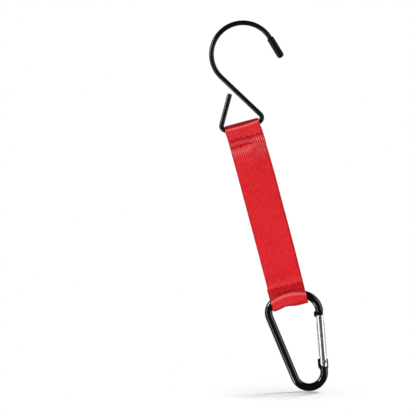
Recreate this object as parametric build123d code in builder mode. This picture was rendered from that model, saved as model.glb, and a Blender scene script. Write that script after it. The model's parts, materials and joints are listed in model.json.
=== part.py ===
from build123d import *
import os
from math import atan2, cos, hypot, radians, sin, sqrt, tan

# A hanging strap for a fence or rail: a bent wire hook with a rubber tip cap and an open
# three-sided eye, a webbing strap sewn into a loop at each end, and a sprung-gate carabiner.
# Millimetres. The origin is the top of the hook's inside, where the rail sits. The strap
# hangs down -Z, its width runs along X, and -Y is the front. The hook opens towards +X.

# Webbing strap
webbing_w = 25.0
webbing_t = 1.2
strap_drop = 122.85  # eye base axis to the axis on which the carabiner swings
top_loop_fit = 0.3  # round the wire
top_side_gap = 0.3  # between the drawn-in loop and the eye's bends
top_tuck = 5.0  # below the loop, over which the strap comes back to its full width
top_neck = 3.4  # from the loop's outside to where the two layers meet
top_tab = 3.0  # folded end past the last row of stitches
bottom_loop_fit = 0.35  # round the bent bar as it swings
bottom_neck = 1.1
bottom_tab = 1.7
seam_round = 0.12  # inside of a loop where its layers meet

# Zigzag stitching
thread_d = 0.55
thread_stand = 0.3  # above the webbing
stitch_length = 2.6
stitch_pitch = 2.0
stitch_angle = 38.0
stitch_margin = 1.6  # clear webbing at each end of a row
row_start = 1.7  # from where the layers meet to the first row
row_pitch = 4.3
top_rows = 2
bottom_rows = 1

# Wire hook
wire_d = 3.35
seat_r = 20.0  # inside of the crown
tip_angle = 16.2  # where the crown's arc ends on the open side, above +X
stem_lean = 31.6  # stem, off the vertical
tip_run = 13.8  # straight wire inside the cap
eye_drop = 67.7  # seat to the axis of the eye's base wire
eye_side = 4.1  # strap edge to the corner where the lines of the base and a side cross
eye_bend_r = 3.2  # centre line of the eye's two bends
leg_lean = 29.8  # free leg, off the vertical
leg_length = 27.4  # free leg, from the corner of its line to its cut end
wire_end_chamfer = 0.35

# Tip cap
cap_wall = 0.775
cap_end = 1.7
cap_end_round = 2.0
cap_lip_round = 0.35
cap_fit = 0.02  # all round the wire

# Carabiner ring
rod_d = 5.4
spine_side = 5.07  # strap edge to the spine's line, at the bar's centre line
gate_side = 8.29  # strap edge to the gate's line, at the bar's centre line
spine_lean = 7.84
gate_lean = 10.3
spine_corner_r = 9.3
nose_corner_r = 13.0
foot_r = 10.5
nose_stub = 0.1  # straight rod before the nose's shoulder
hinge_stub = 3.0  # straight rod between the foot's arc and the lowest point of the gate
shoulder_round = 0.5

# Nose tongue and latch pin
nose_t = 2.4
nose_show = 2.2  # tongue that shows between the shoulder and the gate
nose_root = 1.6  # tongue sunk in the rod
nose_lobe = 1.2  # how far the tongue stands out inside the ring
nose_tip = 1.35  # hook below the latch pin's notch
nose_round = 0.7
pin_d = 1.6
pin_down = 2.0  # below the gate's upper end
pin_in = 0.4  # inside the gate's axis
pin_gap = 0.15
press_gap = 0.01

# Gate and its hinge
gate_d = 5.4
gate_edge = 0.35
gate_end_spare = 0.1  # past the gate's inner side, at the rounding of its lower end
cheek_gap = 0.15  # each side of a tongue
slot_room = 0.7  # below the nose tongue, in the gate's slot
scoop_gap = 0.3
gate_travel = 28.0  # degrees inwards
hinge_t = 2.6
hinge_lobe_in = 1.2  # tongue past the rod, inside the ring
hinge_lobe_out = 0.4
hinge_cover = 1.0  # tongue above the rivet
hinge_root = 3.6  # tongue sunk in the rod
hinge_round = 1.2
rivet_d = 2.0
rivet_out = 0.8  # outside the gate's axis
rivet_gap = 0.04
rivet_stand = 0.25
rivet_round = 0.22

# Plunger and spring
bore_gap = 0.1
plunger_length = 6.0
plunger_gap = 0.05
plunger_round = 1.0
spring_gap = 0.15
spring_wire = 0.42
spring_sides = 8  # the wire's section is kept to a few flats
spring_turns = 6.5
spring_pitch = 1.1

os.makedirs("parts", exist_ok=True)


def finish(piece, name):
    piece.part.label = name
    export_step(piece.part, f"parts/{name}.step")


# Places on the hook, as X and Z
crown_r = seat_r + wire_d / 2
crown_z = -seat_r
eye_z = -eye_drop
stem_angle = 180 + stem_lean
stem_x = crown_r * cos(radians(stem_angle))
stem_z = crown_z + crown_r * sin(radians(stem_angle))
eye_right = stem_x + (stem_z - eye_z) * tan(radians(stem_lean))
eye_half = webbing_w / 2 + eye_side
strap_x = eye_right - eye_half
eye_left = strap_x - eye_half
leg_end = (eye_left + leg_length * sin(radians(leg_lean)), eye_z + leg_length * cos(radians(leg_lean)))

# Wire hook: one wire, bent from its tip over the crown and round the eye
with BuildPart() as wire_hook:
    with BuildLine(Plane.XZ) as hook_line:
        CenterArc((0, crown_z), crown_r, tip_angle, stem_angle - tip_angle)
        tip_start = (crown_r * cos(radians(tip_angle)), crown_z + crown_r * sin(radians(tip_angle)))
        tip_way = (sin(radians(tip_angle)), -cos(radians(tip_angle)))
        tip_end = (tip_start[0] + tip_run * tip_way[0], tip_start[1] + tip_run * tip_way[1])
        Line(tip_start, tip_end)
        FilletPolyline(
            (stem_x, stem_z), (eye_right, eye_z), (eye_left, eye_z), leg_end, radius=eye_bend_r
        )
    tip_plane = Plane(origin=(tip_end[0], 0, tip_end[1]), z_dir=(-tip_way[0], 0, -tip_way[1]))
    with BuildSketch(tip_plane):
        Circle(wire_d / 2)
    sweep(path=hook_line.wires()[0])
    cut_end = wire_hook.edges().filter_by(GeomType.CIRCLE).sort_by_distance((leg_end[0], 0, leg_end[1]))
    chamfer(cut_end[0], wire_end_chamfer)
finish(wire_hook, "wire_hook")

# Tip cap: a closed rubber sleeve pushed onto the tip
with BuildPart() as tip_cap:
    cap_plane = Plane(origin=(tip_start[0], 0, tip_start[1]), z_dir=(tip_way[0], 0, tip_way[1]))
    with BuildSketch(cap_plane):
        Circle(wire_d / 2 + cap_wall)
    extrude(amount=tip_run + cap_end)
    rims = tip_cap.edges().filter_by(GeomType.CIRCLE).sort_by_distance(cap_plane.origin)
    fillet(rims[-1], cap_end_round)
    fillet(rims[0], cap_lip_round)
    with BuildSketch(cap_plane):
        Circle(wire_d / 2 + cap_fit)
    extrude(amount=tip_run, mode=Mode.SUBTRACT)
finish(tip_cap, "tip_cap")

# Places on the carabiner's ring, and the strap's lower loop round its bar. The bar is bent down
# at both sides of the strap, so it swings on an axis midway between its top and the lowest
# points of its bends that the strap still covers.
rod_r = rod_d / 2
swing_z = eye_z - strap_drop
spine_run = spine_corner_r / tan(radians((90 - spine_lean) / 2))
nose_run = nose_corner_r / tan(radians((90 - gate_lean) / 2))


def edge_depth(corner_r, run, side):
    """How deep the ring's inside lies below the bar's centre line at the strap's edge."""
    return corner_r - sqrt((corner_r - rod_r) ** 2 - (run - side) ** 2)


spine_depth = edge_depth(spine_corner_r, spine_run, spine_side)
nose_depth = edge_depth(nose_corner_r, nose_run, gate_side)
bend_depth = max(spine_depth, nose_depth)
bar_z = swing_z + (bend_depth - rod_r) / 2
bottom_loop_r = (bend_depth + rod_r) / 2 + bottom_loop_fit

# Places on the strap
top_loop_r = wire_d / 2 + top_loop_fit
layer_mid = webbing_t / 2  # from the middle of the strip to where its folded tabs meet it
top_seam_z = eye_z - top_loop_r - webbing_t - top_neck
bottom_seam_z = swing_z + bottom_loop_r + webbing_t + bottom_neck
top_row_z = [top_seam_z - row_start - row_pitch * number for number in range(top_rows)]
bottom_row_z = [bottom_seam_z + row_start + row_pitch * number for number in range(bottom_rows)]
top_tab_z = top_row_z[-1] - top_tab
bottom_tab_z = bottom_row_z[-1] + bottom_tab
eye_run = eye_bend_r / tan(radians((90 - max(stem_lean, leg_lean)) / 2))
bend_reach = sqrt((eye_bend_r - wire_d / 2) ** 2 - (eye_bend_r - top_loop_r) ** 2)
top_half = eye_half - eye_run + bend_reach - top_side_gap  # half width of the drawn-in loop
webbing_half = webbing_w / 2


def loop_hull(axis_z, radius, seam_z, seam_width, seam_height):
    """Section of a loop: a circle drawn out to the layers at its seam by two tangents."""
    with BuildSketch() as section:
        with Locations((0, axis_z)):
            Circle(radius)
        with Locations((layer_mid, seam_z)):
            Rectangle(seam_width, seam_height)
        make_hull()
    return section.sketch


# Webbing strap: one strip with both ends folded back behind it, as a side view drawn across
# the strap's width. The tabs are sewn flat to the strip, so the layers are one solid there.
with BuildPart() as webbing_strap:
    with BuildSketch(Plane.YZ.offset(strap_x - webbing_half)):
        with BuildLine():
            Polyline(
                (-layer_mid, bottom_seam_z),
                (-layer_mid, top_seam_z),
                (3 * layer_mid, top_seam_z),
                (3 * layer_mid, top_tab_z),
                (layer_mid, top_tab_z),
                (layer_mid, bottom_tab_z),
                (3 * layer_mid, bottom_tab_z),
                (3 * layer_mid, bottom_seam_z),
                close=True,
            )
        make_face()
        for axis_z, loop_r, seam_z in (
            (eye_z, top_loop_r, top_seam_z),
            (swing_z, bottom_loop_r, bottom_seam_z),
        ):
            add(loop_hull(axis_z, loop_r + webbing_t, seam_z, 2 * webbing_t, webbing_t))
            add(loop_hull(axis_z, loop_r, seam_z, seam_round, seam_round), mode=Mode.SUBTRACT)
    extrude(amount=webbing_w)
    # Front view, drawn in at the top loop
    loop_top_z = eye_z + top_loop_r + 2 * webbing_t
    tuck_z = eye_z - top_loop_r - webbing_t
    strap_end_z = swing_z - bottom_loop_r - 2 * webbing_t
    with BuildSketch(Plane.XZ):
        with BuildLine():
            Polyline(
                (strap_x - top_half, loop_top_z),
                (strap_x + top_half, loop_top_z),
                (strap_x + top_half, tuck_z),
                (strap_x + webbing_half, tuck_z - top_tuck),
                (strap_x + webbing_half, strap_end_z),
                (strap_x - webbing_half, strap_end_z),
                (strap_x - webbing_half, tuck_z - top_tuck),
                (strap_x - top_half, tuck_z),
                close=True,
            )
        make_face()
    extrude(amount=bottom_loop_r + 2 * webbing_t, both=True, mode=Mode.INTERSECT)
finish(webbing_strap, "webbing_strap")

# Stitching: zigzag rows of thread, each stitch lying on the front or on the folded tab
front_face = Plane.XZ.offset(layer_mid)
back_face = Plane(origin=(0, 3 * layer_mid, 0), x_dir=(-1, 0, 0), z_dir=(0, 1, 0))
stitch_span = webbing_w - 2 * stitch_margin - stitch_pitch
stitch_count = int(stitch_span / stitch_pitch) + 1


def zigzag(face, row_z):
    """One row of slanted stitches across the strap, centred on its middle."""
    middle_x = face.to_local_coords(Vector(strap_x, 0, 0)).X
    for number in range(stitch_count):
        offset = (number - (stitch_count - 1) / 2) * stitch_pitch
        turn = stitch_angle if number % 2 else -stitch_angle
        with Locations((middle_x + offset, row_z)):
            Rectangle(stitch_length, thread_d, rotation=turn)


def stitching(rows):
    with BuildPart() as threads:
        for face in (front_face, back_face):
            with BuildSketch(face):
                for row_z in rows:
                    zigzag(face, row_z)
            extrude(amount=thread_stand)
    return threads


finish(stitching(top_row_z), "top_stitching")
finish(stitching(bottom_row_z), "bottom_stitching")

# Places on the carabiner. The gate's plane has its origin where the lines of the bar and the
# gate cross, its x outwards from the ring and its y up along the gate.
spine_top = (strap_x - webbing_half - spine_side, bar_z)
gate_corner = (strap_x + webbing_half + gate_side, bar_z)
ring_depth = (gate_corner[0] - spine_top[0]) / (tan(radians(spine_lean)) + tan(radians(gate_lean)))
foot_point = (spine_top[0] + ring_depth * tan(radians(spine_lean)), bar_z - ring_depth)
gate_out = (cos(radians(gate_lean)), 0, -sin(radians(gate_lean)))
gate_up = (sin(radians(gate_lean)), 0, cos(radians(gate_lean)))
gate_plane = Plane(origin=(gate_corner[0], 0, gate_corner[1]), x_dir=gate_out, z_dir=(0, -1, 0))

gate_r = gate_d / 2
coin_r = rod_r - shoulder_round  # half width of a tongue where it is sunk in the rod
nose_y = -nose_run - nose_stub
gate_top_y = nose_y - nose_show
pin_y = gate_top_y - pin_down
notch_r = pin_d / 2 + pin_gap
nose_end_y = pin_y - notch_r - nose_tip
foot_run = foot_r / tan(radians((spine_lean + gate_lean) / 2))
gate_end_y = foot_run + hinge_stub - ring_depth / cos(radians(gate_lean))
gate_end_r = gate_r + rivet_out + gate_end_spare
rivet_y = gate_end_y + gate_end_r
scoop_r = gate_end_r + scoop_gap
hinge_head = rivet_d / 2 + hinge_cover

# Height of the slot over the rivet, clear of the tongue's rounded inner corner as the gate turns
corner_x = rod_r + hinge_lobe_in + rivet_out - hinge_round
corner_y = hinge_head - hinge_round
corner_turn = atan2(corner_y, corner_x) + radians(gate_travel)
hinge_slot = hypot(corner_x, corner_y) * sin(corner_turn) + hinge_round + scoop_gap


def on_gate(x, y):
    """A point of the gate's plane, in X, Y and Z."""
    return gate_plane.from_local_coords(Vector(x, y, 0))


def gate_level(y):
    """The plane square to the gate at one height along it."""
    return Plane(origin=on_gate(0, y), x_dir=(0, 1, 0), z_dir=gate_up)


# Carabiner body: one bent rod, coined flat at both ends
nose_point = on_gate(0, nose_y)
hinge_point = on_gate(0, gate_end_y)
with BuildPart() as carabiner_body:
    with BuildLine(Plane.XZ) as ring_line:
        FilletPolyline(
            (nose_point.X, nose_point.Z),
            gate_corner,
            spine_top,
            foot_point,
            (hinge_point.X, hinge_point.Z),
            radius=[nose_corner_r, spine_corner_r, foot_r],
        )
    with BuildSketch(gate_level(nose_y)):
        Circle(rod_r)
    sweep(path=ring_line.wires()[0])
    nose_edge = carabiner_body.edges().filter_by(GeomType.CIRCLE).sort_by_distance(nose_point)
    fillet(nose_edge[0], shoulder_round)
    with BuildSketch(gate_plane):
        with Locations((rivet_out, rivet_y)):
            Circle(scoop_r)
    extrude(amount=rod_d, both=True, mode=Mode.SUBTRACT)
    # Hinge tongue, spread past the rod on both sides
    with BuildSketch(gate_plane) as hinge_tongue:
        with BuildLine():
            Polyline(
                (-rod_r - hinge_lobe_in, rivet_y + hinge_head),
                (rod_r + hinge_lobe_out, rivet_y + hinge_head),
                (rod_r + hinge_lobe_out, gate_end_y),
                (coin_r, gate_end_y - hinge_stub),
                (coin_r, gate_end_y - hinge_root),
                (-coin_r, gate_end_y - hinge_root),
                (-coin_r, gate_end_y - hinge_stub),
                (-rod_r - hinge_lobe_in, gate_end_y),
                close=True,
            )
        make_face()
        fillet(hinge_tongue.vertices().group_by(Axis.Y)[-1], hinge_round)
        with Locations((rivet_out, rivet_y)):
            Circle(rivet_d / 2 + press_gap, mode=Mode.SUBTRACT)
    extrude(amount=hinge_t / 2, both=True)
    # Nose tongue, with a lobe over the latch pin's notch and a hook below it
    with BuildSketch(gate_plane) as nose_tongue:
        with BuildLine():
            Polyline(
                (coin_r, nose_y + nose_root),
                (coin_r, nose_end_y),
                (-pin_in - pin_d / 2, nose_end_y),
                (-pin_in - pin_d / 2, pin_y),
                (-rod_r - nose_lobe, pin_y),
                (-rod_r - nose_lobe, nose_y),
                (-coin_r, nose_y + nose_root),
                close=True,
            )
        make_face()
        with Locations((-pin_in, pin_y)):
            Circle(notch_r, mode=Mode.SUBTRACT)
        with Locations((-pin_in, pin_y)):
            Rectangle(2 * rod_d, 2 * notch_r, align=(Align.MAX, Align.CENTER), mode=Mode.SUBTRACT)
        lobe_tip = nose_tongue.vertices().sort_by(Axis.X)[:2]
        fillet(lobe_tip, nose_round)
    extrude(amount=nose_t / 2, both=True)
finish(carabiner_body, "carabiner_body")

# Gate: a turned rod, slotted at both ends over the tongues and bored for its spring
slot_y = rivet_y + hinge_slot
plunger_d = hinge_t
bore_d = plunger_d + 2 * bore_gap
spring_d = bore_d - 2 * spring_gap
plunger_y = rivet_y + hinge_head + plunger_gap
spring_y = plunger_y + plunger_length + spring_wire / 2 + plunger_gap
spring_height = spring_turns * spring_pitch
bore_y = spring_y + spring_height + spring_wire / 2 + plunger_gap
with BuildPart() as gate:
    with BuildSketch(gate_level(gate_end_y)):
        Circle(gate_r)
    extrude(amount=gate_top_y - gate_end_y)
    top_edge = gate.edges().filter_by(GeomType.CIRCLE).sort_by_distance(on_gate(0, gate_top_y))
    fillet(top_edge[0], gate_edge)
    with BuildSketch(gate_plane):
        with Locations((0, rivet_y)):
            Rectangle(2 * gate_d, 2 * gate_end_r, align=(Align.CENTER, Align.MAX))
        with Locations((rivet_out, rivet_y)):
            Circle(gate_end_r, mode=Mode.SUBTRACT)
    extrude(amount=gate_d, both=True, mode=Mode.SUBTRACT)
    with BuildSketch(gate_plane):
        with Locations((0, nose_end_y - slot_room)):
            Rectangle(2 * gate_d, 2 * (gate_top_y - nose_end_y), align=(Align.CENTER, Align.MIN))
    extrude(amount=nose_t / 2 + cheek_gap, both=True, mode=Mode.SUBTRACT)
    with BuildSketch(gate_plane):
        with Locations((0, slot_y)):
            Rectangle(2 * gate_d, 2 * (slot_y - gate_end_y), align=(Align.CENTER, Align.MAX))
    extrude(amount=hinge_t / 2 + cheek_gap, both=True, mode=Mode.SUBTRACT)
    with BuildSketch(gate_level(slot_y)):
        Circle(bore_d / 2)
    extrude(amount=bore_y - slot_y, mode=Mode.SUBTRACT)
    with BuildSketch(gate_plane):
        with Locations((rivet_out, rivet_y)):
            Circle(rivet_d / 2 + rivet_gap)
        with Locations((-pin_in, pin_y)):
            Circle(pin_d / 2 + press_gap)
    extrude(amount=gate_d, both=True, mode=Mode.SUBTRACT)
finish(gate, "gate")

# Pivot rivet, fast in the body's hinge tongue
with BuildPart() as pivot_rivet:
    with BuildSketch(gate_plane):
        with Locations((rivet_out, rivet_y)):
            Circle(rivet_d / 2)
    extrude(amount=sqrt(gate_r**2 - rivet_out**2) + rivet_stand, both=True)
    fillet(pivot_rivet.edges().filter_by(GeomType.CIRCLE), rivet_round)
finish(pivot_rivet, "pivot_rivet")

# Latch pin, fast across the gate's upper slot
with BuildPart() as latch_pin:
    with BuildSketch(gate_plane):
        with Locations((-pin_in, pin_y)):
            Circle(pin_d / 2)
    extrude(amount=sqrt(gate_r**2 - (pin_in + pin_d / 2) ** 2), both=True)
finish(latch_pin, "latch_pin")

# Plunger, pushed out of the gate's bore onto the flat head of the hinge tongue
with BuildPart() as gate_plunger:
    with BuildSketch(gate_level(plunger_y)):
        Circle(plunger_d / 2)
    extrude(amount=plunger_length)
    tip_edge = gate_plunger.edges().filter_by(GeomType.CIRCLE).sort_by_distance(on_gate(0, plunger_y))
    fillet(tip_edge[0], plunger_round)
finish(gate_plunger, "gate_plunger")

# Gate spring, between the plunger and the end of the bore
with BuildPart() as gate_spring:
    with BuildLine() as coil:
        Helix(
            pitch=spring_pitch,
            height=spring_height,
            radius=(spring_d - spring_wire) / 2,
            center=on_gate(0, spring_y),
            direction=gate_up,
        )
    with BuildSketch(Plane(origin=coil.line @ 0, z_dir=coil.line % 0)):
        RegularPolygon(spring_wire / 2, spring_sides)
    sweep(path=coil.line, is_frenet=True)
finish(gate_spring, "gate_spring")

# How far the plunger is pushed in as the gate opens
tip_height = hinge_head + plunger_gap + plunger_round
tip_offset = rivet_out + plunger_d / 2 - plunger_round
open_turn = radians(gate_travel)
plunger_travel = (tip_height + tip_offset * sin(open_turn)) / cos(open_turn) - tip_height

print("strap axis x", strap_x, "eye axis z", eye_z, "swing axis z", swing_z)
print("rivet", on_gate(rivet_out, rivet_y), "gate up", gate_up, "plunger travel", plunger_travel)
print("gate top", on_gate(0, gate_top_y), "gate end", on_gate(0, gate_end_y), "bore end", on_gate(0, bore_y))
print("tip", tip_end, "leg end", leg_end, "spine top", spine_top, "gate corner", gate_corner)
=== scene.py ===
# %% [markdown]
# # A hanging strap for a fence
# A bent wire hook, a sewn red webbing strap and a small carabiner. The hard parts come from a
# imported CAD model, which stays fixed. This script gives every part its finish, weaves the strap
# and its stitches as real surfaces, and lights the whole on white. Lengths are in metres.

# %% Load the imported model
import json
from math import cos, pi, radians, sin

import bpy
import numpy as np
from mathutils import Matrix, Vector


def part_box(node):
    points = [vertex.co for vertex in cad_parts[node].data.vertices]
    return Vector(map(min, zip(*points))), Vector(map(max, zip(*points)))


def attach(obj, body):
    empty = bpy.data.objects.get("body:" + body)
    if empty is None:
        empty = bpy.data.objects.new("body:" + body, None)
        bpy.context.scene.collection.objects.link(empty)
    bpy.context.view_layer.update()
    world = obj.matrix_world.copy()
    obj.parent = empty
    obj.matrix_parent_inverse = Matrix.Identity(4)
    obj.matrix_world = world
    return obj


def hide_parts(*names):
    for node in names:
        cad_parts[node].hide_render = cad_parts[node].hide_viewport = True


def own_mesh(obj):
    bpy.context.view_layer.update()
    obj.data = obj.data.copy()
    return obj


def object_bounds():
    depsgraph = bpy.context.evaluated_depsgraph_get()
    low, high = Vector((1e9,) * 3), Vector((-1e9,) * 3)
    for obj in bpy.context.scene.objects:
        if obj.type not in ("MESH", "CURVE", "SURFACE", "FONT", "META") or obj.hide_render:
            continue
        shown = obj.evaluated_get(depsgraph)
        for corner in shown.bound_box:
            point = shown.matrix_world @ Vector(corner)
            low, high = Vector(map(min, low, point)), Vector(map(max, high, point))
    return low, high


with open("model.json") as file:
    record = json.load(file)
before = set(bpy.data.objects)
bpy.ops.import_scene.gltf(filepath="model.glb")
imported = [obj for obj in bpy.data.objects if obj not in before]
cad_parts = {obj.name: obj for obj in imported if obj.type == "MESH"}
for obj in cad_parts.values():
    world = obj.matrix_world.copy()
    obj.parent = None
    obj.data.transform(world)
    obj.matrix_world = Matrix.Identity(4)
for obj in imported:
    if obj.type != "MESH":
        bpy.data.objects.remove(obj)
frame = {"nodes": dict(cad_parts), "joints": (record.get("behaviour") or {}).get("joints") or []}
cad_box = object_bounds()
nodes = frame["nodes"]
joints = {joint["name"]: joint for joint in frame["joints"]}
scene = bpy.context.scene
scene.view_settings.view_transform = "Standard"
mm = 0.001

# %% [markdown]
# ## Camera
# The strap hangs straight down in the model, but the picture shows it leaning: its top points
# to the upper left. Rolling the camera does that without moving the part. A long lens from
# about a metre keeps the carabiner and the hook at one scale, as in a product picture. The lean
# and the scale were measured on the strap, whose width is known.

# %% Camera
picture_px = 416
mm_per_px = 0.687
lean = radians(14.9)
lens_mm, sensor_mm = 135, 36
crown_at = Vector((0, 0, -20.0 * mm))  # the centre of the hook's arc
crown_px = (243.0, 54.33)  # where the picture has it
image_right = Vector((cos(lean), 0, -sin(lean)))
image_up = Vector((sin(lean), 0, cos(lean)))


def from_middle(pixel):
    """Way from the picture's middle to a pixel: so far to the image's right, less so far up."""
    right, down = ((at - picture_px / 2) * mm_per_px * mm for at in pixel)
    return image_right * right - image_up * down


aim = crown_at - from_middle(crown_px)
stand_off = picture_px * mm_per_px * mm * lens_mm / sensor_mm
turn = Matrix((image_right, image_up, Vector((0, -1, 0)))).transposed()
camera = bpy.data.objects.new("camera", bpy.data.cameras.new("camera"))
scene.collection.objects.link(camera)
camera.data.lens, camera.data.sensor_width = lens_mm, sensor_mm
camera.matrix_world = Matrix.Translation(aim + Vector((0, -stand_off, 0))) @ turn.to_4x4()
scene.camera = camera
print("camera stands off", round(stand_off, 3), "aims at", tuple(round(c, 4) for c in aim))

# %% [markdown]
# ## Shader arithmetic
# Node trees are easier to read as formulas. `Value` wraps a socket, and each operator on it adds
# one Math node. `Shading.node` adds any other node: first its settings, then its sockets. A
# `Finish` is the shading of one material, and the world uses the same helpers.


# %% Values
class Value:
    """A shader socket that takes part in Python arithmetic."""

    def __init__(self, shading, socket):
        self.shading = shading
        self.socket = socket

    def math(self, operation, *terms):
        """One Math node on numbers and Values."""
        sockets = dict(enumerate(terms))
        return self.shading.node("ShaderNodeMath", {"operation": operation}, sockets)

    def __add__(self, other):
        return self.math("ADD", self, other)

    def __radd__(self, other):
        return self.math("ADD", other, self)

    def __sub__(self, other):
        return self.math("SUBTRACT", self, other)

    def __rsub__(self, other):
        return self.math("SUBTRACT", other, self)

    def __mul__(self, other):
        return self.math("MULTIPLY", self, other)

    def __rmul__(self, other):
        return self.math("MULTIPLY", other, self)

    def __truediv__(self, other):
        return self.math("DIVIDE", self, other)

    def clamp(self, low, high):
        """The larger of the value and `low`, but `high` at most."""
        return self.math("MINIMUM", self.math("MAXIMUM", self, low), high)

    def wave(self, length):
        """Sine of the value, which repeats after `length`."""
        return self.math("SINE", self * (2 * pi / length))


# %% Node trees
class Shading:
    """A node tree with one main shader, whose inputs are numbers, colours or Values."""

    def __init__(self, node_tree, shader):
        self.node_tree = node_tree
        self.shader = node_tree.nodes[shader]

    def node(self, kind, settings=None, sockets=None, out=0):
        """Add a node, with its settings set first, and give one of its outputs."""
        made = self.node_tree.nodes.new(kind)
        for key, value in (settings or {}).items():
            setattr(made, key, value)
        for key, value in (sockets or {}).items():
            self.feed(made.inputs[key], value)
        return Value(self, made.outputs[out])

    def feed(self, socket, value):
        """Link a Value to a socket, or write a number or a colour into it."""
        if isinstance(value, Value):
            self.node_tree.links.new(value.socket, socket)
        elif socket.type == "RGBA":
            socket.default_value = (*value, 1)
        else:
            socket.default_value = value

    def surface(self, **inputs):
        """Feed the main shader; an underscore stands for a blank in a socket's name."""
        for key, value in inputs.items():
            self.feed(self.shader.inputs[key.replace("_", " ")], value)
        return self

    def seen(self):
        """1 for rays from the camera, off mirrors and through glass, 0 for light that falls."""
        by_camera, by_mirror, by_glass = (
            self.node("ShaderNodeLightPath", out=f"Is {ray} Ray")
            for ray in ("Camera", "Glossy", "Transmission")
        )
        return (by_camera + by_mirror + by_glass).clamp(0, 1)


# %% Finishes
mix_first, mix_second, mix_out = 6, 7, 2  # a Mix node's sockets for colours


class Finish(Shading):
    """A material with one Principled shader."""

    def __init__(self, name):
        self.material = bpy.data.materials.new(name)
        self.material.use_nodes = True
        super().__init__(self.material.node_tree, "Principled BSDF")
        print("finish", name)

    def place(self):
        """The point's own coordinates in metres."""
        return self.node("ShaderNodeTexCoord", out="Object")

    def noise(self, scale, detail, vector=None):
        """Soft noise about 0.5, `scale` grains to a metre unless another vector is given."""
        sockets = {"Vector": vector or self.place(), "Scale": scale, "Detail": detail}
        return self.node("ShaderNodeTexNoise", None, sockets)

    def mix(self, factor, first, second):
        """The first colour at factor 0, the second at factor 1."""
        sockets = {"Factor": factor, mix_first: first, mix_second: second}
        return self.node("ShaderNodeMix", {"data_type": "RGBA"}, sockets, out=mix_out)

    def bump(self, height, distance, strength):
        """A normal that tilts as if the surface rose by height times distance."""
        sockets = {"Height": height, "Distance": distance, "Strength": strength}
        return self.node("ShaderNodeBump", None, sockets)

    def attribute(self, name):
        """A number that the mesh holds for each point."""
        return self.node("ShaderNodeAttribute", {"attribute_name": name}, out="Fac")


def wear(node, finish):
    """Give a CAD part its finish."""
    mesh = nodes[node].data
    mesh.materials.clear()
    mesh.materials.append(finish.material)
    print(node, "wears", finish.material.name)


# %% [markdown]
# ## White all round
# The picture has a pure white ground. A bright backdrop would give that, but its light would wash
# out the colours. So the world is white to the camera and to reflections only, and to all other
# light it is a low grey.

# %% World
world_fill = 0.12
world = bpy.data.worlds.new("studio")
scene.world = world
world.use_nodes = True
studio = Shading(world.node_tree, "Background")
studio.surface(Color=(1, 1, 1), Strength=world_fill + (1 - world_fill) * studio.seen())
print("world", world.name, "fills with", world_fill)

# %% [markdown]
# ## Soft boxes
# Round black bars show little but reflections. Two narrow strips draw a bright line down each
# side of them, and two small lamps that only reflections see add the glints on the bends. Wide
# lamps in front and behind light the cloth, and reflections don't see those. One large lamp
# could do all of this, but it would turn the bars grey. The last lamp makes the floor's shadow.

# %% Soft boxes
middle = (cad_box[0] + cad_box[1]) / 2


def soft_box(name, azimuth, elevation, distance, size, brightness, mirrored=True, shines=True):
    """An area light facing the part from degrees round and up, where 0, 0 is the front.

    Its brightness is its radiance, so 1 looks white in a mirror: energy is radiance times pi
    times the lamp's area.
    """
    lamp = bpy.data.lights.new(name, "AREA")
    lamp.shape = "RECTANGLE"
    lamp.size, lamp.size_y = size
    lamp.energy = brightness * pi * size[0] * size[1]
    holder = bpy.data.objects.new(name, lamp)
    scene.collection.objects.link(holder)
    flat = Vector((sin(radians(azimuth)), -cos(radians(azimuth)), 0)) * cos(radians(elevation))
    towards = flat + Vector((0, 0, sin(radians(elevation))))
    holder.location = middle + towards * distance
    holder.rotation_mode = "QUATERNION"
    holder.rotation_quaternion = towards.to_track_quat("Z", "Y")
    holder.visible_camera = False
    holder.visible_glossy = mirrored
    holder.visible_diffuse = shines
    return holder


soft_box("strip_left", -59, -6, 0.9, (0.18, 0.9), 2.6)
soft_box("strip_right", 66, -6, 0.9, (0.18, 0.9), 3.2)
soft_box("key_glint", -63, 38, 0.85, (0.2, 0.3), 26.0, shines=False)
soft_box("low_glint", -80, -28, 0.9, (0.22, 0.22), 12.0, shines=False)
soft_box("front_fill", 0, -14, 1.2, (1.0, 0.5), 7.7, mirrored=False)
soft_box("back_fill", 180, 0, 1.2, (1.0, 0.6), 7.2, mirrored=False)
shadow_maker = soft_box("shadow_maker", 128, 36, 2.5, (1.0, 1.0), 20.5, mirrored=False)

# %% [markdown]
# ## Cards for the reflections
# Between the lamps, metal shows whatever else stands round it. A photographer puts up cards for
# that: dark ones in front, above and below keep the middle of each bar dark, and grey ones at
# the sides and behind give the gate soft edges. Reflections alone see these cards, so they
# neither block light nor show in the picture.

# %% Cards
hidden_from = ("camera", "diffuse", "transmission", "volume_scatter", "shadow")
corner_signs = np.array([[-1, -1], [1, -1], [1, 1], [-1, 1]])


def card(name, centre, right, up, grey):
    """A rectangle: its centre plus or minus each of its two half sides."""
    corners = np.array(centre) + corner_signs @ np.array([right, up])
    mesh = bpy.data.meshes.new(name)
    mesh.from_pydata(corners.tolist(), [], [(0, 1, 2, 3)])
    piece = bpy.data.objects.new(name, mesh)
    scene.collection.objects.link(piece)
    for ray in hidden_from:
        setattr(piece, "visible_" + ray, False)
    matt = Finish(name).surface(Base_Color=(0, 0, 0), Roughness=1.0, Specular_IOR_Level=0.0)
    matt.surface(Emission_Color=(grey, grey, grey), Emission_Strength=1.0)
    mesh.materials.append(matt.material)


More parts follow.
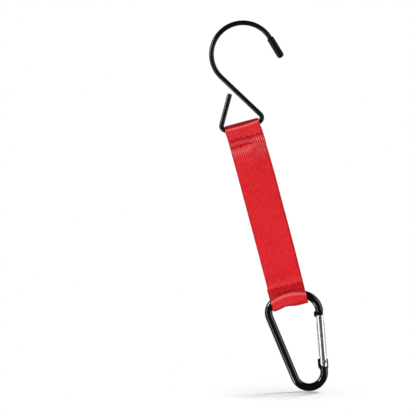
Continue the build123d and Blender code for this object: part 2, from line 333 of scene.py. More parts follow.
wide, tall, deep = (2.2, 0, 0), (0, 0, 1.2), (0, 1.6, 0)
side_gap, side_depth = 1.5, (0, 0.63, 0)
card("front_card", (middle.x, -1.35, middle.z), (1.6, 0, 0), tall, 0.07)
card("back_card", (middle.x, 1.0, middle.z), wide, (0, 0, 1.6), 0.3)
card("top_card", (middle.x, 0, 1.1), wide, deep, 0.02)
card("left_card", (middle.x - side_gap, 0.03, middle.z), side_depth, tall, 0.45)
card("right_card", (middle.x + side_gap, 0.03, middle.z), side_depth, tall, 0.8)
card("low_card", (middle.x, 0, -1.4), wide, deep, 0.04)

# %% [markdown]
# ## Surfaces from numbers
# Every new piece is a grid of points worked out with numpy. One helper turns such a grid into a
# mesh: it joins neighbours into quads, closes the grid round on itself, because every shape here
# is a disc or a tube, and smooths the shading.


# %% Grid to mesh
def ring_faces(rows, columns):
    """Quads between rings: a point, the next one on its ring, and the same two a ring on."""
    first = np.arange(rows - 1)[:, None] * columns
    here = first + np.arange(columns)
    beside = first + (np.arange(columns) + 1) % columns
    return np.stack([here, beside, beside + columns, here + columns], axis=-1).reshape(-1, 4)


def tube_faces(rows, columns, shift=0):
    """Quads of a closed tube: rings, and each end shut straight across, from point `shift` on."""
    i = np.arange(columns // 2 - 1)
    shut = (np.stack([i, i + 1, -2 - i, -1 - i], axis=1) + shift) % columns
    last_ring = (rows - 1) * columns
    return np.concatenate([ring_faces(rows, columns), shut[:, ::-1], shut + last_ring])


def mesh_piece(name, points, faces, finish, attributes=None, uv=None):
    """A mesh object from points and quads, with float attributes and a UV for each point."""
    points = np.asarray(points, np.float32).reshape(-1, 3)
    faces = np.asarray(faces, np.int32)
    mesh = bpy.data.meshes.new(name)
    mesh.vertices.add(len(points))
    mesh.vertices.foreach_set("co", points.ravel())
    mesh.loops.add(faces.size)
    mesh.loops.foreach_set("vertex_index", faces.ravel())
    mesh.polygons.add(len(faces))
    first_corners = np.arange(0, faces.size, faces.shape[1], dtype=np.int32)
    mesh.polygons.foreach_set("loop_start", first_corners)
    mesh.polygons.foreach_set("use_smooth", np.ones(len(faces), bool))
    for key, values in (attributes or {}).items():
        layer = mesh.attributes.new(key, "FLOAT", "POINT")
        layer.data.foreach_set("value", np.asarray(values, np.float32).ravel())
    if uv is not None:
        per_corner = np.asarray(uv, np.float32).reshape(-1, 2)[faces.ravel()]
        mesh.uv_layers.new(name="strip").data.foreach_set("uv", per_corner.ravel())
    mesh.update(calc_edges=True)
    mesh.validate()
    mesh.materials.append(finish.material)
    piece = bpy.data.objects.new(name, mesh)
    scene.collection.objects.link(piece)
    print(name, len(points), "points", len(faces), "faces")
    return piece


# %% [markdown]
# ## Floor
# Below the carabiner's foot lies one faint shadow. A large floor would show where it ends, so
# this one is a small disc of rings and spokes that fades out towards its rim. It can't be seen
# from below. Its own lamp, linked to it alone, throws the shadow without lighting the part.

# %% Floor finish
foot_px = (288.0, 391.6)  # the middle of the shadow in the picture
floor_at = aim + from_middle(foot_px)
fade_end, fade_width = 0.055, 0.04
floor_glow = 0.15
floor_white = Finish("floor_white")
from_foot = {0: floor_white.place(), 1: tuple(floor_at)}
away = floor_white.node("ShaderNodeVectorMath", {"operation": "DISTANCE"}, from_foot, out="Value")
below = floor_white.node("ShaderNodeNewGeometry", out="Backfacing")
floor_white.surface(
    Base_Color=(0.8, 0.8, 0.8),
    Roughness=1.0,
    Specular_IOR_Level=0.0,
    Emission_Color=floor_white.mix(floor_white.seen(), (0, 0, 0), (floor_glow,) * 3),
    Emission_Strength=1.0,
    Alpha=((fade_end - away) / fade_width).clamp(0, 1) * (1 - below),
)

# %% Floor piece
floor_r, floor_rings, floor_spokes = 0.06, 12, 64
spoke = np.linspace(0, 2 * pi, floor_spokes + 1)[:-1]
spread = np.linspace(0, floor_r, floor_rings)[:, None]
floor_points = (
    np.array(floor_at)
    + (spread * np.cos(spoke))[..., None] * np.array(image_right)
    + (spread * np.sin(spoke))[..., None] * np.array((0, 1, 0))
)
floor_faces = ring_faces(floor_rings, floor_spokes)[:, ::-1]
floor = mesh_piece("floor", floor_points, floor_faces, floor_white)
floor.visible_shadow = False
floor.visible_diffuse = False
floor.visible_glossy = False
floor_only = bpy.data.collections.new("floor_only")
floor_only.objects.link(floor)
shadow_maker.light_linking.receiver_collection = floor_only

# %% [markdown]
# ## Black parts
# The wire has a thick satin coat with a fine grain, the cap is matte rubber, and the carabiner's
# rod is anodised: a deep gloss black. All three are nearly black, so what tells them apart is how
# sharp their reflections are. Each finish is a noise that feeds the roughness.

# %% Satin coat
wire_coat = Finish("wire_coat")
grain = wire_coat.noise(2600, detail=4)
orange_peel = wire_coat.noise(420, detail=2)
wire_coat.surface(
    Base_Color=wire_coat.mix(grain, (0.0018, 0.0018, 0.002), (0.004, 0.004, 0.0043)),
    Roughness=0.27 + 0.06 * grain,
    Specular_IOR_Level=0.36,
    Normal=wire_coat.bump(orange_peel + 0.2 * grain, 0.02 * mm, 0.3),
)
wear("wire_hook", wire_coat)

# %% Rubber
cap_rubber = Finish("cap_rubber")
dust = cap_rubber.noise(1500, detail=5)
cap_rubber.surface(
    Base_Color=cap_rubber.mix(dust, (0.002, 0.002, 0.0022), (0.005, 0.005, 0.0052)),
    Roughness=0.36 + 0.14 * dust,
    Specular_IOR_Level=0.2,
    Normal=cap_rubber.bump(dust, 0.08 * mm, 0.4),
)
wear("tip_cap", cap_rubber)

# %% Gloss black
black_anodised = Finish("black_anodised")
cloud = black_anodised.noise(160, detail=3)
drawn = black_anodised.noise(3000, detail=2)
black_anodised.surface(
    Base_Color=black_anodised.mix(cloud, (0.0015, 0.0015, 0.0017), (0.003, 0.003, 0.0033)),
    Roughness=0.05 + 0.05 * cloud + 0.02 * drawn,
    IOR=1.55,
)
wear("carabiner_body", black_anodised)

# %% [markdown]
# ## Bright parts
# The gate is a turned and polished aluminium rod whose gloss is a little uneven. The rivet, the
# latch pin, the plunger and the spring are bright steel. Both are plain metal shaders, because
# the cards and lamps round the part make most of what is seen on them.

# %% Silver
gate_silver = Finish("gate_silver")
haze = gate_silver.noise(240, detail=3)
fine = gate_silver.noise(2600, detail=3)
gate_silver.surface(
    Base_Color=gate_silver.mix(haze, (0.72, 0.72, 0.73), (0.84, 0.84, 0.845)),
    Metallic=1.0,
    Roughness=0.31 + 0.05 * haze + 0.02 * fine,
)
wear("gate", gate_silver)

# %% Steel
pin_steel = Finish("pin_steel")
rub = pin_steel.noise(1800, detail=4)
pin_steel.surface(
    Base_Color=pin_steel.mix(rub, (0.5, 0.5, 0.51), (0.68, 0.68, 0.69)),
    Metallic=1.0,
    Roughness=0.2 + 0.16 * rub,
)
for bright_part in ("pivot_rivet", "latch_pin", "gate_plunger"):
    wear(bright_part, pin_steel)

# %% [markdown]
# ## The gate's spring
# A coil in the gate's bore pushes the plunger onto the hinge, and that shuts the gate. It is
# hidden, but it gets shorter when the gate opens, which a rigid solid can't do. So the coil is
# made here, a circle carried along a helix.

# %% Coil spring
slide = joints["plunger_slide"]
gate_up = np.array(slide["axis"]) / np.linalg.norm(slide["axis"])
gate_across = np.array((gate_up[2], 0, -gate_up[0]))
bore_end = np.array((2.015, 0, -222.414)) * mm
coil_r, coil_wire_r = 1.04 * mm, 0.21 * mm
coil_turns, coil_pitch = 6.5, 1.1 * mm
coil_start = 0.26 * mm  # from the end of the bore to the middle of the first turn
coil_length = coil_start + coil_turns * coil_pitch + coil_wire_r
coil_rings, coil_sides = 235, 10


def coil(rings, sides):
    """Helix down the bore, and round it a circle that spans the outward and the lengthwise way."""
    turned = np.linspace(0, 2 * pi * coil_turns, rings)[:, None, None]
    around = np.linspace(0, 2 * pi, sides + 1)[:-1][None, :, None]
    outwards = np.cos(turned) * gate_across + np.sin(turned) * np.array((0, 1, 0))
    down = coil_start + coil_pitch * turned / (2 * pi) - coil_wire_r * np.sin(around)
    return bore_end - down * gate_up + (coil_r + coil_wire_r * np.cos(around)) * outwards


coil_points = coil(coil_rings, coil_sides)
coil_faces = tube_faces(coil_rings, coil_sides)[:, ::-1]
coil_spring = mesh_piece("coil_spring", coil_points, coil_faces, pin_steel)
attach(coil_spring, "gate")
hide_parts("gate_spring")
plunger_travel = slide["range_m"][1]
1 - plunger_travel / coil_length
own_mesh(coil_spring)

# %% [markdown]
# ## The strap's path
# The strap is one strip of webbing. Seen from the side it starts behind the strap at the end of
# its upper fold, goes up and over the wire, down the front, under the carabiner's bar and up
# behind again. A cloth simulation could drape it, but a strap under load follows simple lines:
# straight runs and two arcs, worked out from the tangents to each loop and then eased a little
# where they meet.

# %% Sizes of the strap
strap_x, _, eye_z = joints["strap_swing"]["pos_m"]
swing_z = joints["carabiner_swing"]["pos_m"][2]
strap_low, strap_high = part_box("webbing_strap")
webbing_t, webbing_half = 1.2 * mm, 12.5 * mm
top_r = strap_high.z - eye_z - webbing_t / 2  # loops, at the middle of the layer
bottom_r = swing_z - strap_low.z - webbing_t / 2
top_neck, bottom_neck = 3.4 * mm, 1.1 * mm  # between each loop and its seam
top_seam_z = eye_z - top_r - webbing_t / 2 - top_neck
bottom_seam_z = swing_z + bottom_r + webbing_t / 2 + bottom_neck
row_start, row_pitch = 1.7 * mm, 4.3 * mm  # rows of stitches, from the seam on
top_rows = np.array([top_seam_z - row_start, top_seam_z - row_start - row_pitch])
bottom_rows = np.array([bottom_seam_z + row_start])
top_tail, bottom_tail = 3.0 * mm, 1.7 * mm  # from the last row to the cut end
top_tab_z = top_rows[-1] - top_tail
bottom_tab_z = bottom_rows[-1] + bottom_tail
print("loop radii", round(top_r / mm, 3), round(bottom_r / mm, 3))
print("seams at", top_seam_z, bottom_seam_z)

# %% Straight runs and arcs
path_step = 0.05 * mm


def tangent_angle(point, centre, radius, side):
    """Where a tangent touches: the point's angle plus or minus arc cosine of radius / distance."""
    y, z = point[0] - centre[0], point[1] - centre[1]
    return np.arctan2(z, y) + side * np.arccos(radius / np.hypot(y, z))


def run(start, end):
    """Points of a straight run: start and end mixed in even shares, a path step apart."""
    count = max(2, int(np.hypot(end[0] - start[0], end[1] - start[1]) / path_step))
    part = np.linspace(0, 1, count)[:, None]
    return np.array(start) * (1 - part) + np.array(end) * part


def arc(centre, radius, first, last):
    """Points of an arc: centre plus radius times cosine and sine, a path step apart."""
    turned = np.linspace(first, last, max(2, int(radius * abs(last - first) / path_step)))
    y, z = centre[0] + radius * np.cos(turned), centre[1] + radius * np.sin(turned)
    return np.stack([y, z], axis=1)


eye, bar = (0.0, eye_z), (0.0, swing_z)
top_front, top_back = (0.0, top_seam_z), (webbing_t, top_seam_z)
low_front, low_back = (0.0, bottom_seam_z + 1.0 * mm), (webbing_t, bottom_seam_z)
ridge = (-3.5 * mm, eye_z - 0.1 * mm)  # the pale edge where the upper loop turns down
brow = (-6.0 * mm, swing_z + 0.7 * mm)  # the foremost line of the lower loop
up_arc = arc(eye, top_r, tangent_angle(top_back, eye, top_r, 1), pi / 2)
down_from = pi + 0.6
down_to = tangent_angle(low_back, bar, bottom_r, -1) + 2 * pi
down_arc = arc(bar, bottom_r, down_from, down_to)
runs = [
    run((webbing_t, top_tab_z), top_back),
    run(top_back, up_arc[0]),
    up_arc,
    run(up_arc[-1], ridge),
    run(ridge, top_front),
    run(top_front, low_front),
    run(low_front, brow),
    run(brow, down_arc[0]),
    down_arc,
    run(down_arc[-1], low_back),
    run(low_back, (webbing_t, bottom_tab_z)),
]
print("runs", len(runs), "with", sum(len(r) for r in runs), "points")

# %% Line of the middle layer
same_point = 1e-9  # a shorter step is the end of one run met again as the start of the next
soft_reach = 0.32 * mm  # how far the corners between runs are eased


def step_lengths(points):
    """Distance from each point of a path to the next."""
    return np.hypot(*np.diff(points, axis=0).T)


def ease(values, reach):
    """Running average with a bell-shaped weight, its ends held where they are."""
    half = int(3 * reach / path_step)
    weight = np.exp(-0.5 * (np.arange(-half, half + 1) * path_step / reach) ** 2)
    padded = np.concatenate([np.full(half, values[0]), values, np.full(half, values[-1])])
    return np.convolve(padded, weight / weight.sum(), mode="valid")


line = np.concatenate(runs)
line = line[np.concatenate([[True], step_lengths(line) > same_point])]
length_at = np.concatenate([[0], np.cumsum(step_lengths(line))])
even = np.arange(0, length_at[-1], path_step)
line = np.stack([ease(np.interp(even, length_at, axis), soft_reach) for axis in line.T], axis=1)
strip_length = step_lengths(line).sum()
print("strip length", round(strip_length / mm, 1), "mm")

# %% [markdown]
# ## Rows along the strip
# The loops and seams need close rows of points and the flat middle doesn't. A density along the
# strip, added up and cut into equal shares, spaces the rows.

# %% Rows along the strip
close_pitch, wide_pitch = 0.42 * mm, 1.1 * mm
flat_margin, blend_reach = 6 * mm, 2 * mm
along = np.arange(len(line)) * strip_length / (len(line) - 1)
y_line, z_line = line.T
flat_part = (z_line < top_rows[-1] - flat_margin) & (z_line > bottom_rows[-1] + flat_margin)
density = ease(np.where(flat_part, 1 / wide_pitch, 1 / close_pitch), blend_reach)
share = np.cumsum(density)
row_count = int(share[-1] * path_step)
line_index = np.arange(len(line))
picks = np.interp(np.linspace(share[0], share[-1], row_count), share, line_index)
row_s, row_y, row_z, way_y, way_z = (
    np.interp(picks, line_index, values)
    for values in (along, y_line, z_line, np.gradient(y_line, along), np.gradient(z_line, along))
)
way = np.hypot(way_y, way_z)
out_y, out_z = way_z / way, -way_y / way  # outwards, the side that shows
print("rows", row_count)

# %% [markdown]
# ## Places along the strip
# Real webbing is never quite even: it narrows over the wire and spreads in the loops. Its half
# width and its sideways shift are given at a few named places, read in between and eased.

# %% Named places
run_lengths = [step_lengths(r).sum() for r in runs]
ends = np.cumsum([0] + run_lengths) * strip_length / sum(run_lengths)
tab_s, back_seam_s, top_on_s, crown_s, crest_s, front_seam_s = ends[:6]
low_seam_s, swell_s, low_on_s, low_off_s, low_back_s, end_s = ends[6:]
under_s = low_on_s + bottom_r * (1.5 * pi - down_from)
print("loops at", [round(at / mm, 1) for at in (crown_s, crest_s, swell_s, under_s)])

# %% Width and shift along the strip
place_reach = 0.8 * mm
places = [  # along the strip, half width and shift in millimetres
    (tab_s, 12.3, 0.3),
    (back_seam_s, 12.2, 0.1),
    (top_on_s, 11.8, -0.1),
    (crown_s, 11.85, -0.5),
    (crest_s - 1.0 * mm, 12.1, -0.6),
    (crest_s + 1.2 * mm, 12.3, -0.8),
    (front_seam_s, 12.2, -0.45),
    (front_seam_s + 12 * mm, 12.5, 0.0),
    (front_seam_s + 30 * mm, 12.6, 0.2),
    (low_seam_s - 25 * mm, 12.6, 0.2),
    (low_seam_s - 2 * mm, 12.5, 0.0),
    (swell_s - 2 * mm, 12.45, -0.33),
    (swell_s, 12.65, -0.42),
    (swell_s + 4.2 * mm, 12.5, -0.32),
    (under_s, 12.3, -0.1),
    (under_s + 5 * mm, 12.5, -0.3),
    (low_back_s, 12.5, -0.45),
    (end_s, 12.5, -0.5),
]
place_s, *place_values = np.array(places).T
row_half, row_shift = (
    np.interp(row_s, along, ease(np.interp(along, place_s, values), place_reach) * mm)[:, None]
    for values in place_values
)
print("half width", round(row_half.min() / mm, 2), "to", round(row_half.max() / mm, 2), "mm")

# %% [markdown]
# ## The webbing's section
# Across the strip the section is two faces and two rounded edges, one closed ring of points. An
# array of such rings, one for each row, is the whole strip. `s` is the way along it and `across`
# the way from its middle.

# %% Section across the strip
edge_r = 0.5 * mm
face_count, edge_count = 144, 4
face = np.linspace(-1, 1, face_count)
bend = np.linspace(pi / 2, -pi / 2, edge_count + 2)[1:-1]
still, plain = np.zeros(face_count), np.ones(face_count)
lay_x = np.concatenate([face, np.ones(edge_count), -face, -np.ones(edge_count)])
edge_x = np.concatenate([still, np.cos(bend), still, -np.cos(bend)]) * edge_r
lay_n = np.concatenate([plain, np.sin(bend), -plain, -np.sin(bend)]) * webbing_t / 2
on_face = np.concatenate([plain, 0 * bend, -plain, 0 * bend])
outside, inside = np.maximum(on_face, 0), np.maximum(-on_face, 0)
columns = len(lay_x)
s = row_s[:, None]
across = lay_x * (row_half - edge_r) + edge_x
to_left = 0.5 - 0.5 * np.tanh((across - 2.0 * mm) / (4.0 * mm))  # 1 at the left edge, then 0
to_right = 0.5 + 0.5 * np.tanh((across - 4.5 * mm) / (1.5 * mm))  # 0, then 1 at the right edge
print("points across", columns)

# %% [markdown]
# ## Dents at the stitches
# Thread pulls the webbing in, so each zigzag row lies in a dent, with puckers round it. Both are
# bells of the distance to the nearest row, which a triangle wave bends into a zigzag. The second
# upper row lies flush at its right end.

# %% Dents and puckers
stitch_pitch, zigzag = 2.0 * mm, 0.55 * mm
dent_reach, pull_reach = 0.75 * mm, 5.0 * mm
dent_depth, pucker_height = 0.3 * mm, 0.1 * mm
flush_reach, flush_share = 2.0 * mm, 0.75


def bell(distance, reach):
    """Bell curve: e to the power of minus the square of distance over reach."""
    return np.exp(-((distance / reach) ** 2))


def near(rows_s, reach):
    """Bell of the smallest distance along the strip from a point to some zigzag rows."""
    return bell(np.abs((s + zig)[..., None] - rows_s).min(axis=-1), reach)


zig = (2 / pi) * np.arcsin(np.sin(pi * across / stitch_pitch)) * zigzag
upper_front_s = front_seam_s + (top_seam_z - top_rows)
lower_front_s = low_seam_s - (bottom_rows - low_front[1])
upper_back_s = back_seam_s - (top_seam_z - top_rows)
lower_back_s = low_back_s + (bottom_rows - bottom_seam_z)
stitched_s = np.concatenate([upper_front_s, lower_front_s, upper_back_s, lower_back_s])
flush = flush_share * to_right * bell(s - upper_front_s[1], flush_reach)
dent = near(stitched_s, dent_reach) * (1 - flush)
pull = near(stitched_s, pull_reach)
ripple = np.sin(across / (0.8 * mm) + 1.3 * np.sin(s / (2.3 * mm)))
pucker = pull * pucker_height * ripple
print("points in dents", int((dent > 0.5).sum()))

# %% [markdown]
# ## Ribs
# The weave has lengthwise ribs, here a cosine across the width. They wander sideways round the
# stitches and slant on the left of both seams. Where the weave is pulled open, they stand out
# more. As real height they also show in the outline and from the side, which a bump wouldn't.

# %% Ribs
rib_pitch, rib_height, sway_reach = 1.55 * mm, 0.2 * mm, 0.25 * mm
upper_lean, lower_lean, loop_lean = -0.45, -0.4, 1.2  # sideways for each step along
sway = pull * sway_reach * np.sin(across / (1.9 * mm) + s / (3.1 * mm))
upper_slant = upper_lean * np.clip(s - front_seam_s + 2 * mm, 0, 12 * mm)
lower_slant = lower_lean * np.clip(s - low_seam_s, 0, swell_s - low_seam_s)
loop_slant = loop_lean * np.clip(s - swell_s + 0.9 * mm, 0, 1.8 * mm)
wander = sway + (upper_slant + lower_slant + loop_slant) * to_left
rib = 0.5 - 0.5 * np.cos(2 * pi * (across + wander) / rib_pitch)
open_places = [  # along the strip, how far the weave is pulled open
    (tab_s, 0.3),
    (crown_s, 0.25),
    (crest_s - 1 * mm, 0.4),
    (crest_s + 2 * mm, 0.5),
    (front_seam_s + 2 * mm, 0.9),
    (front_seam_s + 5 * mm, 0.95),
    (front_seam_s + 10 * mm, 0.8),
    (front_seam_s + 16 * mm, 0.45),
    (front_seam_s + 30 * mm, 0.22),
    (low_seam_s - 20 * mm, 0.22),
    (low_seam_s - 8 * mm, 0.45),
    (low_seam_s, 0.4),
    (swell_s, 0.5),
    (swell_s + 2.5 * mm, 0.45),
    (under_s, 0.35),
    (low_back_s, 0.35),
    (end_s, 0.3),
]
open_s, open_share = np.array(open_places).T
open_weave = np.interp(s, open_s, open_share)
print("ribs across", round(2 * webbing_half / rib_pitch, 1))

# %% [markdown]
# ## The lower loop and the upper ridge
# The lower loop follows the bent bar, so its front and its underside rise in the middle. Its
# inner face is pressed thin, which leaves the bar room to turn. The ridge of the upper loop
# rises a little to the right. Each is a bell round its own angle or place, times a curve across.

# %% Arches and the pressed face
front_arch_height, under_arch_height = 2.7 * mm, 1.25 * mm
press_depth, press_width = 0.45 * mm, 9.0 * mm
ridge_slope, ridge_reach = 0.09, 2.2 * mm
angle_places = [low_seam_s, swell_s, low_on_s, low_off_s]
angle = np.interp(s, angle_places, [pi - 1.2, pi, down_from, down_to])
in_loop = (s > low_seam_s - 3 * mm) & (s < low_back_s)
pressed = np.where(in_loop, press_depth * bell(angle - 1.25 * pi, 1.0), 0)
pressed = pressed * np.exp(-((across / press_width) ** 4))
front_weight = np.where(in_loop, bell(angle - pi, 0.62), 0)
under_weight = np.where(in_loop, np.clip(-np.sin(angle), 0, 1) ** 3, 0)
front_arch = front_arch_height * (1 - (across / webbing_half) ** 2)
under_arch = under_arch_height * bell(across + 3.0 * mm, 4.8 * mm) - 0.15 * mm
ridge_rise = bell(s - crest_s, ridge_reach) * np.clip(across, 0, None) * ridge_slope
rise = front_weight * front_arch + under_weight * under_arch + ridge_rise
print("loop rows", int(in_loop.sum()), "highest rise", round(rise.max() / mm, 2), "mm")

# %% Points of the strip
fold_z, fold_reach, fold_step = -77.5 * mm, 5.0 * mm, 0.8 * mm


def step_forward(z):
    """How far the doubled, stitched part comes to the front: a bell round the height of its rows.
    """
    return -fold_step * bell(z - fold_z, fold_reach)


lift = lay_n - on_face * rib_height * open_weave * (1 - rib)
lift = lift + outside * (pucker - dent_depth * dent) + inside * pressed
webbing_points = np.stack(
    [
        strap_x + row_shift + across,
        (row_y + step_forward(row_z))[:, None] + lift * out_y[:, None],
        row_z[:, None] + lift * out_z[:, None] + rise,
    ],
    axis=-1,
)
print("strip points", webbing_points.shape)

# %% [markdown]
# ## Nylon webbing
# The yarn is glossy and deep red. Shade is painted into its colour: darker between the ribs, in
# the stitch dents, round the upper seam and under the lower loop. The edges are darker selvage
# yarn, the right one with painted shade as well. Highlights are painted on as paler yarn on the
# loops' ridges and beside the stitches. The weave itself, a fine twill that changes direction
# from rib to rib, is too small for the mesh. So it is a bump, laid out on the strip's own
# coordinates in millimetres. Attributes on the points say where each of these belongs.

# %% Weave
red_webbing = Finish("red_webbing")
strip_uv = red_webbing.node("ShaderNodeUVMap", {"uv_map": "strip"})
across_mm, along_mm = (
    red_webbing.node("ShaderNodeSeparateXYZ", None, {0: strip_uv}, out=axis) for axis in "XY"
)
slant_mm, twill_mm, dot_mm = 3.1, 1.4, 2.6
slant = across_mm.wave(slant_mm) * 0.9
twill = (along_mm + slant).wave(twill_mm) * 0.5 + 0.5
dots = across_mm.wave(dot_mm) * along_mm.wave(dot_mm) * 0.5 + 0.5
half_along = {0: strip_uv, 1: (1.0, 0.5, 1.0)}
stretched = red_webbing.node("ShaderNodeVectorMath", {"operation": "MULTIPLY"}, half_along)
streak = red_webbing.noise(0.7, detail=3, vector=stretched)
tuft = ((red_webbing.noise(0.8, detail=2, vector=strip_uv) - 0.4) * 5).clamp(0, 1)
blotch = red_webbing.noise(95, detail=4)
fuzz = red_webbing.noise(1500, detail=3)

# %% Nylon finish
# Masks on the points: painted shade with the darker selvage, painted shade by the stitches,
# painted highlights, and the dotted patch
valley, sewn, worn, dotted = (
    red_webbing.attribute(name) for name in ("valley", "sewn", "worn", "dotted")
)
# Painted shade between the ribs and under the lower loop, with the darker selvage, broken up by
# the twill
weave_shade_and_selvage = valley * (1 - twill * 0.5) * 0.95
# Painted shade by the stitches, broken into patches by noise
patchy_stitch_shade = sewn * (0.1 + 0.65 * tuft)
uneven = (blotch - 0.5) * 0.5 + (streak - 0.5) * 1.1
shade = (weave_shade_and_selvage + patchy_stitch_shade + dotted * dots * 0.8 + uneven + 0.05).clamp(0, 1)
pale_dots = dotted * (1 - dots) * 0.35
# Paler towards pink: the painted highlights, the pale yarn between the dots and a faint streaked
# tone
highlight_and_pale_dots = (worn * (0.5 + streak) + pale_dots + (0.5 - streak) * 0.12).clamp(0, 1)
# The deep red is where painted shade, the darker selvage, the dots and random tone lead; the
# bright red is the yarn's own
yarn = red_webbing.mix(shade, (0.755, 0.021, 0.029), (0.46, 0.001, 0.004))
red_webbing.surface(
    # The pale pink is the colour of the painted highlights
    Base_Color=red_webbing.mix(highlight_and_pale_dots, yarn, (1.0, 0.2, 0.225)),
    Roughness=0.42 + 0.2 * fuzz,
    Normal=red_webbing.bump(twill + 0.5 * fuzz, 0.05 * mm, 0.6),
    Specular_IOR_Level=0.15,
)
print("red_webbing has", len(red_webbing.node_tree.nodes), "nodes")

# %% [markdown]
# ## Painted highlights and shade
# Highlights are painted as paler yarn on the ridges of both loops and in bands beside the
# stitches, and a dotted patch at the right has dark dots with paler yarn between. Shade is
# painted darker into the stitch dents, round the upper seam, between the ribs and under the lower
# loop. The edges are darker selvage yarn, the right one with painted shade as well. A painted
# mask could hold this, but bands across the strip, times the ribs, follow the weave by themselves.


# %% Masks on the strip
def band(centre, reach):
    """A bell-shaped band across the strip."""
    return bell(s - centre, reach)


pale_s = front_seam_s + (7.5 - 2.2 * np.tanh((across - 2.5 * mm) / (2.5 * mm))) * mm
# Bands of painted highlight as paler yarn: the ridges and the arch of the loops, and pale ribs
# beside the stitches
highlight_bands = [  # centre, reach and strength
    (crest_s + 0.2 * mm, 0.45 * mm, 0.6 + 0.3 * rib),
    (crest_s + 4.5 * mm, 3.0 * mm, 0.22 * rib**2),
    (pale_s, 2.6 * mm, 0.85 * rib**1.5),
    (pale_s + 6 * mm, 4.5 * mm, 0.16 * rib**2),
    (front_seam_s + 1.5 * mm, 2.6 * mm, 0.2 * rib**2),
    (front_seam_s + 3.9 * mm, 1.2 * mm, 0.5 * to_left * rib**1.5),
    (lower_front_s[0] - 2.5 * mm, 2.0 * mm, 0.25 * rib**2),
    (swell_s + 0.1 * mm, 0.8 * mm, 1.4 * rib**1.5),
    (swell_s + 2.6 * mm, 1.6 * mm, 0.14 * rib**2),
    (swell_s + 4.5 * mm, 0.7 * mm, 0.15 * to_left),
]
painted_highlights = sum(band(centre, reach) * strength for centre, reach, strength in highlight_bands)
# Painted shade round the upper seam, stronger on the left
seam_shade = band(front_seam_s + 2.0 * mm, 4.0 * mm) * (0.15 + 0.3 * to_left)
# Darker selvage yarn at both edges, and on the right edge painted shade as well
selvage = np.clip((np.abs(across) - row_half + 1.6 * mm) / (1.1 * mm), 0, 1)
selvage_and_edge_shade = np.where(across > 0, 1.5, 0.5) * selvage
# Painted shade between the ribs, deeper where the weave is pulled open
rib_gap_shade = (1 - rib) * np.abs(on_face) * open_weave
masks = {
    # Painted shade between the ribs and under the lower loop, with the darker selvage
    "valley": np.maximum(rib_gap_shade, selvage_and_edge_shade) + band(under_s, 3.2 * mm) * 1.2,
    # Painted shade in the stitch dents and round the upper seam
    "sewn": np.clip(dent + seam_shade, 0, 1) * outside,
    # Painted highlights
    "worn": np.clip(painted_highlights, 0, 1) * outside,
    "dotted": band(front_seam_s + 12.5 * mm, 4.2 * mm) * to_right * outside,
}
print("masks", {name: round(float(mask.mean()), 3) for name, mask in masks.items()})

# %% The strap
strip_places = np.stack(np.broadcast_arrays(across / mm, s / mm), axis=-1)
webbing_faces = tube_faces(row_count, columns, shift=-edge_count // 2)[:, ::-1]
webbing = mesh_piece("webbing", webbing_points, webbing_faces, red_webbing, masks, strip_places)
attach(webbing, "strap")
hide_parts("webbing_strap")

# %% [markdown]
# ## Stitches
# Each stitch is a short length of twisted thread that lies on the webbing and dives into it at
# both ends. One stitch is a tube along a low arch. Copies of one tube would look stamped, so all
# are computed together, each with its own place and tilt, in zigzag rows on the front and back.

# %% Thread finish
red_thread = Finish("red_thread")
lint = red_thread.noise(2500, detail=3)
red_thread.surface(
    Base_Color=red_thread.mix(lint, (0.5, 0.001, 0.009), (0.68, 0.005, 0.017)),
    Roughness=0.6 + 0.2 * lint,
    Specular_IOR_Level=0.15,
)

# %% Rows of stitches
stitch_count, thread_rings, thread_sides = 11, 15, 10
thread_r, half_stitch = 0.33 * mm, 1.4 * mm
arch_top, arch_drop = 0.1 * mm, 0.42 * mm
stitch_tilt, tilt_scatter = radians(46), radians(30)
row_middle = strap_x - 0.2 * mm
place_scatter, row_scatter = 0.7 * mm, 1.0 * mm  # along the row and off it
ply_depth, ply_twist = 0.14, 7
pulled_row, pulled_from, pulled_over, pulled_in = 1, 6, 3, 0.2 * mm  # the sunk end of a row


def scatter(key):
    """A repeatable scatter from -0.5 to 0.5: the far decimals of a large sine."""
    return (np.sin(key * 12.9898) * 43758.5453) % 1 - 0.5


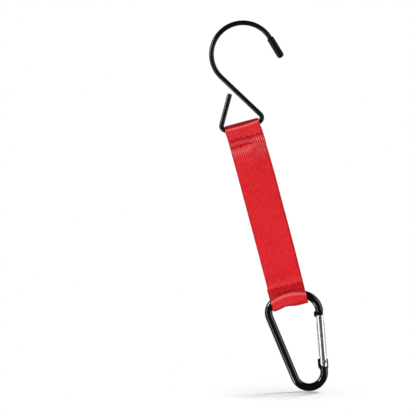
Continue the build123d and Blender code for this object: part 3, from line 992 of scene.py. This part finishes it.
def stitch_points(rows_z):
    """Tubes along arches, whose height falls with the fourth power of the way from the middle.

    The axes are side of the strap, row, stitch, ring and point on the ring. Rings turn the other
    way behind, so that faces look out there too.
    """
    side = np.array([-1, 1])[:, None, None, None, None]
    row = np.arange(len(rows_z))[None, :, None, None, None]
    number = np.arange(stitch_count)[None, None, :, None, None]
    step = np.linspace(-1, 1, thread_rings)[:, None]
    around = -side * np.linspace(0, 2 * pi, thread_sides + 1)[:-1]
    key = number + 20 * row + 100 * side  # a number of its own for each stitch
    offset = (number - (stitch_count - 1) / 2) * stitch_pitch + scatter(key) * place_scatter
    tilt = stitch_tilt * np.where(number % 2, 1, -1) + scatter(key + 0.3) * tilt_scatter
    row_at = rows_z[row] + scatter(key + 0.7) * row_scatter
    ply = 1 + ply_depth * np.cos(2 * around + ply_twist * step)
    radius = thread_r * np.sqrt(np.clip(1 - step**6, 0.02, 1)) * ply
    along_thread, off_thread = half_stitch * step, radius * np.cos(around)
    sunk = pulled_in * (row == pulled_row) * np.clip((number - pulled_from) / pulled_over, 0, 1)
    height = arch_top - arch_drop * step**4 + radius * np.sin(around) - sunk
    face_y = np.where(side < 0, -webbing_t / 2, 1.5 * webbing_t)
    x = row_middle + offset + along_thread * np.cos(tilt) - off_thread * np.sin(tilt)
    y = face_y + side * height + step_forward(row_at)
    z = row_at + along_thread * np.sin(tilt) + off_thread * np.cos(tilt)
    return np.stack(np.broadcast_arrays(x, y, z), axis=-1)


def stitch_rows(name, rows_z, node):
    """All stitches of one seam as one piece: the faces of one tube, moved on for each stitch."""
    per_stitch = thread_rings * thread_sides
    points = stitch_points(rows_z).reshape(-1, per_stitch, 3)
    starts = np.arange(len(points))[:, None, None] * per_stitch
    faces = (tube_faces(thread_rings, thread_sides) + starts).reshape(-1, 4)
    piece = mesh_piece(name, points, faces, red_thread)
    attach(piece, "strap")
    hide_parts(node)


stitch_rows("upper_stitches", top_rows, "top_stitching")
stitch_rows("lower_stitches", bottom_rows, "bottom_stitching")
